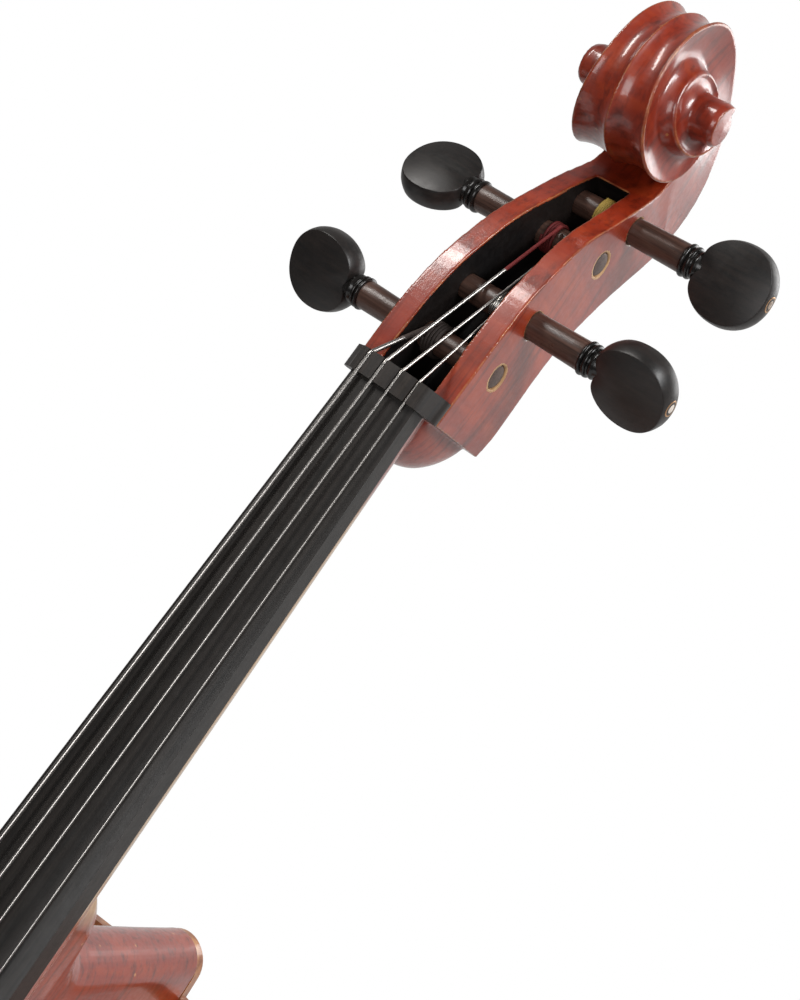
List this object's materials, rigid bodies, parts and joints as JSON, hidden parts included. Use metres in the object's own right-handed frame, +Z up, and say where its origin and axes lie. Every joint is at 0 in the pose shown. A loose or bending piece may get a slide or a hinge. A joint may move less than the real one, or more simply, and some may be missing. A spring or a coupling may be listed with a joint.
{
  "type": "cello",
  "caption": "Full-size cello with turning tuning pegs, hollow arched body, strings, bridge, tailpiece with fine tuners and a sliding endpin.",
  "frame": {"origin": "tip of the endpin spike on the floor, on the endpin's axis, with the instrument upright", "axes": "+Z up along the body, -Y out of the front of the instrument (strings side), +X towards the treble side"},
  "size_m": [0.4403, 0.2632, 1.3869],
  "materials": {
    "spruce_varnished": "glossy red-brown spirit varnish over straight spruce grain",
    "maple_varnished": "glossy red-brown varnish over flamed maple",
    "maple_neck": "glossy red-brown varnish, golden along the edges",
    "purfling_wood": "black, white and black veneer strip under varnish",
    "spruce_raw": "bare spruce and willow",
    "ebony": "oiled satin ebony",
    "bridge_maple": "bare flecked maple",
    "ebony_peg": "polished ebony, red-brown on the shaft",
    "pearl_eye": "mother-of-pearl dot in a brass ring",
    "string_silk": "wound silk over steel",
    "string_wire": "flat-wound steel",
    "steel_plated": "nickel plated steel",
    "steel_black": "black plated, knurled",
    "steel_cable": "braided steel cable"
  },
  "bodies": {
    "instrument": {"top_plate": "spruce_varnished", "back_plate": "maple_varnished", "purfling_front": "purfling_wood", "purfling_back": "purfling_wood", "upper_block": "spruce_raw", "lower_block": "spruce_raw", "corner_blocks": "spruce_raw", "linings_front": "spruce_raw", "linings_back": "spruce_raw", "bass_bar": "spruce_raw", "sound_post": "spruce_raw", "rib_upper_bass": "maple_varnished", "rib_upper_treble": "maple_varnished", "rib_center_bass": "maple_varnished", "rib_center_treble": "maple_varnished", "rib_lower_bass": "maple_varnished", "rib_lower_treble": "maple_varnished", "neck_and_scroll": "maple_neck", "fingerboard": "ebony", "nut": "ebony", "saddle": "ebony", "bridge": "bridge_maple", "tailpiece": "ebony", "tail_fret": "ebony", "tuner_pins": "steel_plated", "tuner_bushings": "steel_plated", "tail_cord": "steel_cable", "endpin_plug": "ebony", "endpin_ferrule": "steel_plated", "string_c": "string_wire", "string_g": "string_wire", "string_d": "string_wire", "string_a": "string_wire"},
    "endpin": {"endpin_rod": "steel_plated", "endpin_spike": "steel_plated"},
    "endpin_thumbscrew": {"endpin_screw": "steel_plated"},
    "peg_c_turner": {"peg_c": "ebony_peg", "peg_eye_c": "pearl_eye", "winding_c": "string_silk"},
    "peg_g_turner": {"peg_g": "ebony_peg", "peg_eye_g": "pearl_eye", "winding_g": "string_silk"},
    "peg_d_turner": {"peg_d": "ebony_peg", "peg_eye_d": "pearl_eye", "winding_d": "string_silk"},
    "peg_a_turner": {"peg_a": "ebony_peg", "peg_eye_a": "pearl_eye", "winding_a": "string_silk"},
    "tuner_screw_c_turner": {"tuner_screw_c": "steel_black"},
    "tuner_lever_c_rocker": {"tuner_lever_c": "steel_plated"},
    "tuner_screw_g_turner": {"tuner_screw_g": "steel_black"},
    "tuner_lever_g_rocker": {"tuner_lever_g": "steel_plated"},
    "tuner_screw_d_turner": {"tuner_screw_d": "steel_black"},
    "tuner_lever_d_rocker": {"tuner_lever_d": "steel_plated"},
    "tuner_screw_a_turner": {"tuner_screw_a": "steel_black"},
    "tuner_lever_a_rocker": {"tuner_lever_a": "steel_plated"}
  },
  "joints": [
    {"name": "endpin_slide", "type": "slide", "parent": "instrument", "child": "endpin", "axis": [0, 0, 1], "range_m": [-0.25, 0.112]},
    {"name": "endpin_screw_turn", "type": "hinge", "parent": "instrument", "child": "endpin_thumbscrew", "pos_m": [0.01, 0, 0.146], "axis": [1, 0, 0], "continuous": true},
    {"name": "peg_c_turn", "type": "hinge", "parent": "instrument", "child": "peg_c_turner", "pos_m": [0, -0.01584, 1.22826], "axis": [-1, 0, 0], "continuous": true},
    {"name": "peg_g_turn", "type": "hinge", "parent": "instrument", "child": "peg_g_turner", "pos_m": [0, 0.01677, 1.28536], "axis": [-1, 0, 0], "continuous": true},
    {"name": "peg_d_turn", "type": "hinge", "parent": "instrument", "child": "peg_d_turner", "pos_m": [0, 0.02808, 1.30398], "axis": [1, 0, 0], "continuous": true},
    {"name": "peg_a_turn", "type": "hinge", "parent": "instrument", "child": "peg_a_turner", "pos_m": [0, -0.01018, 1.25173], "axis": [1, 0, 0], "continuous": true},
    {"name": "tuner_screw_c_turn", "type": "hinge", "parent": "instrument", "child": "tuner_screw_c_turner", "pos_m": [-0.0168, -0.12523, 0.36269], "axis": [0, -0.9835, -0.1812], "range_deg": [-1440, 0]},
    {"name": "tuner_lever_c_rock", "type": "hinge", "parent": "instrument", "child": "tuner_lever_c_rocker", "pos_m": [-0.0168, -0.11935, 0.37495], "axis": [-1, 0, 0], "range_deg": [-8, 0]},
    {"name": "tuner_screw_g_turn", "type": "hinge", "parent": "instrument", "child": "tuner_screw_g_turner", "pos_m": [-0.0056, -0.12523, 0.36269], "axis": [0, -0.9835, -0.1812], "range_deg": [-1440, 0]},
    {"name": "tuner_lever_g_rock", "type": "hinge", "parent": "instrument", "child": "tuner_lever_g_rocker", "pos_m": [-0.0056, -0.11935, 0.37495], "axis": [-1, 0, 0], "range_deg": [-8, 0]},
    {"name": "tuner_screw_d_turn", "type": "hinge", "parent": "instrument", "child": "tuner_screw_d_turner", "pos_m": [0.0056, -0.12523, 0.36269], "axis": [0, -0.9835, -0.1812], "range_deg": [-1440, 0]},
    {"name": "tuner_lever_d_rock", "type": "hinge", "parent": "instrument", "child": "tuner_lever_d_rocker", "pos_m": [0.0056, -0.11935, 0.37495], "axis": [-1, 0, 0], "range_deg": [-8, 0]},
    {"name": "tuner_screw_a_turn", "type": "hinge", "parent": "instrument", "child": "tuner_screw_a_turner", "pos_m": [0.0168, -0.12523, 0.36269], "axis": [0, -0.9835, -0.1812], "range_deg": [-1440, 0]},
    {"name": "tuner_lever_a_rock", "type": "hinge", "parent": "instrument", "child": "tuner_lever_a_rocker", "pos_m": [0.0168, -0.11935, 0.37495], "axis": [-1, 0, 0], "range_deg": [-8, 0]}
  ],
  "couplings": [
    {"joint": "tuner_lever_c_rock", "follows": "tuner_screw_c_turn", "ratio": 0.00555},
    {"joint": "tuner_lever_g_rock", "follows": "tuner_screw_g_turn", "ratio": 0.00555},
    {"joint": "tuner_lever_d_rock", "follows": "tuner_screw_d_turn", "ratio": 0.00555},
    {"joint": "tuner_lever_a_rock", "follows": "tuner_screw_a_turn", "ratio": 0.00555}
  ]
}
